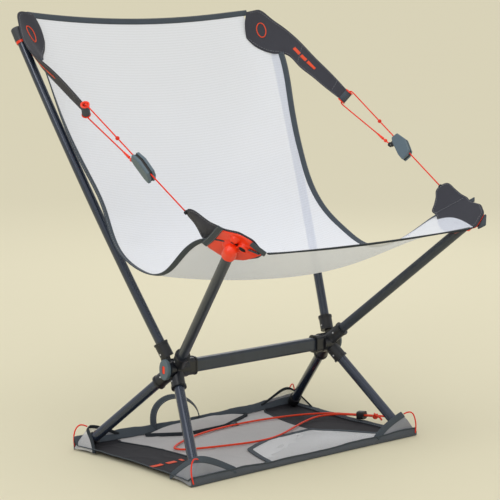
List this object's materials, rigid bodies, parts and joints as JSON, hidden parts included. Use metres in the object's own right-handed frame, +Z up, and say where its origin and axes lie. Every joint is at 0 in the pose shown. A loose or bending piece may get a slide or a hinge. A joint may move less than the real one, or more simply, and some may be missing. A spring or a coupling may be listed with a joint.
{
  "type": "reclining camp chair",
  "caption": "Ultralight backpacking chair: mesh sling on a folding-type pole frame with cord-adjusted reclining backrest and a ground sheet under the feet.",
  "frame": {"origin": "on the ground under the middle of the spine beam", "axes": "+Z up, -Y the way the sitter faces, +X the sitter's left"},
  "size_m": [0.5086, 0.4989, 0.6153],
  "materials": {
    "beam_slate": "matt dark slate anodised",
    "hub_black": "fine satin",
    "cap_slate": "satin",
    "accent_red": "semi-gloss",
    "steel_pin": "brushed",
    "pole_navy": "glossy dark blue-black coating",
    "foot_black": "matt",
    "patch_charcoal": "coated weave",
    "mesh_pale": "open knit mesh",
    "cord_red": "braided",
    "cord_slate": "braided elastic",
    "tip_grey": "satin",
    "adjuster_slate": "satin",
    "adjuster_black": "satin"
  },
  "bodies": {
    "base_frame": {"spine_beam": "beam_slate", "hub_left": "hub_black", "hub_right": "hub_black", "hub_cap_left": "cap_slate", "hub_cap_right": "cap_slate", "hub_cap_inserts": "accent_red", "pivot_screws": "steel_pin", "hub_pins": "steel_pin", "front_leg_left": "pole_navy", "front_leg_right": "pole_navy", "back_leg_left": "pole_navy", "back_leg_right": "pole_navy", "feet": "foot_black", "front_pole_left": "pole_navy", "front_pole_right": "pole_navy", "corner_cup_left": "accent_red", "corner_cup_right": "accent_red", "front_patch_left": "patch_charcoal", "front_patch_right": "patch_charcoal", "seat_sling": "mesh_pale", "base_sheet": "mesh_pale", "base_end_panels": "patch_charcoal", "foot_pockets_front": "patch_charcoal", "foot_pockets_back": "patch_charcoal", "base_pouch": "mesh_pale", "storage_flap": "patch_charcoal", "carry_handle": "patch_charcoal", "bungee_cord": "cord_red", "corner_loops": "cord_red"},
    "back_frame": {"back_sleeve_left": "hub_black", "back_sleeve_right": "hub_black", "back_sleeve_pins": "steel_pin", "back_pole_lower_left": "pole_navy", "back_pole_lower_right": "pole_navy", "back_pole_upper_left": "pole_navy", "back_pole_upper_right": "pole_navy", "pole_ferrules": "pole_navy", "shock_cords": "cord_slate", "tip_cups": "tip_grey", "tip_rings": "accent_red", "top_patch_left": "patch_charcoal", "top_patch_right": "patch_charcoal", "strap_left": "patch_charcoal", "strap_right": "patch_charcoal", "backrest_sling": "mesh_pale", "strap_tube_left": "accent_red", "strap_tube_right": "accent_red"},
    "adjuster_left": {"adjuster_shells_left": "adjuster_slate", "adjuster_core_left": "adjuster_black", "cord_tail_left": "accent_red"},
    "cord_end_left": {"stop_knot_left": "accent_red", "recline_cord_left": "cord_red"},
    "adjuster_right": {"adjuster_shells_right": "adjuster_slate", "adjuster_core_right": "adjuster_black", "cord_tail_right": "accent_red"},
    "cord_end_right": {"stop_knot_right": "accent_red", "recline_cord_right": "cord_red"},
    "cord_lock": {"cord_lock_barrel": "adjuster_slate"},
    "lock_button": {"cord_lock_button": "adjuster_black"}
  },
  "joints": [
    {"name": "recline", "type": "hinge", "parent": "base_frame", "child": "back_frame", "pos_m": [0, 0.005, 0.1325], "axis": [-1, 0, 0], "range_deg": [-7, 3.4]},
    {"name": "adjuster_slide_left", "type": "slide", "parent": "back_frame", "child": "adjuster_left", "axis": [0.0711, 0.8112, 0.5804], "range_m": [-0.0337, 0.0164]},
    {"name": "cord_feed_left", "type": "slide", "parent": "back_frame", "child": "cord_end_left", "axis": [0.0283, 0.8603, 0.509], "range_m": [-0.0164, 0.0335], "deforming": ["recline_cord_left"]},
    {"name": "adjuster_slide_right", "type": "slide", "parent": "back_frame", "child": "adjuster_right", "axis": [-0.0711, 0.8112, 0.5804], "range_m": [-0.0337, 0.0164]},
    {"name": "cord_feed_right", "type": "slide", "parent": "back_frame", "child": "cord_end_right", "axis": [-0.0283, 0.8603, 0.509], "range_m": [-0.0164, 0.0335], "deforming": ["recline_cord_right"]},
    {"name": "lock_slide", "type": "slide", "parent": "base_frame", "child": "cord_lock", "axis": [0.3006, -0.9519, 0.0601], "range_m": [-0.02, 0.008]},
    {"name": "lock_button_press", "type": "slide", "parent": "cord_lock", "child": "lock_button", "axis": [-0.9536, -0.3011, 0], "range_m": [0, 0.002], "stiffness_N_per_m": 400, "springref_m": -0.003}
  ],
  "couplings": [
    {"joint": "adjuster_slide_left", "follows": "recline", "m_per_rad": 0.2746},
    {"joint": "cord_feed_left", "follows": "recline", "m_per_rad": -0.2733},
    {"joint": "adjuster_slide_right", "follows": "recline", "m_per_rad": 0.2746},
    {"joint": "cord_feed_right", "follows": "recline", "m_per_rad": -0.2733}
  ]
}
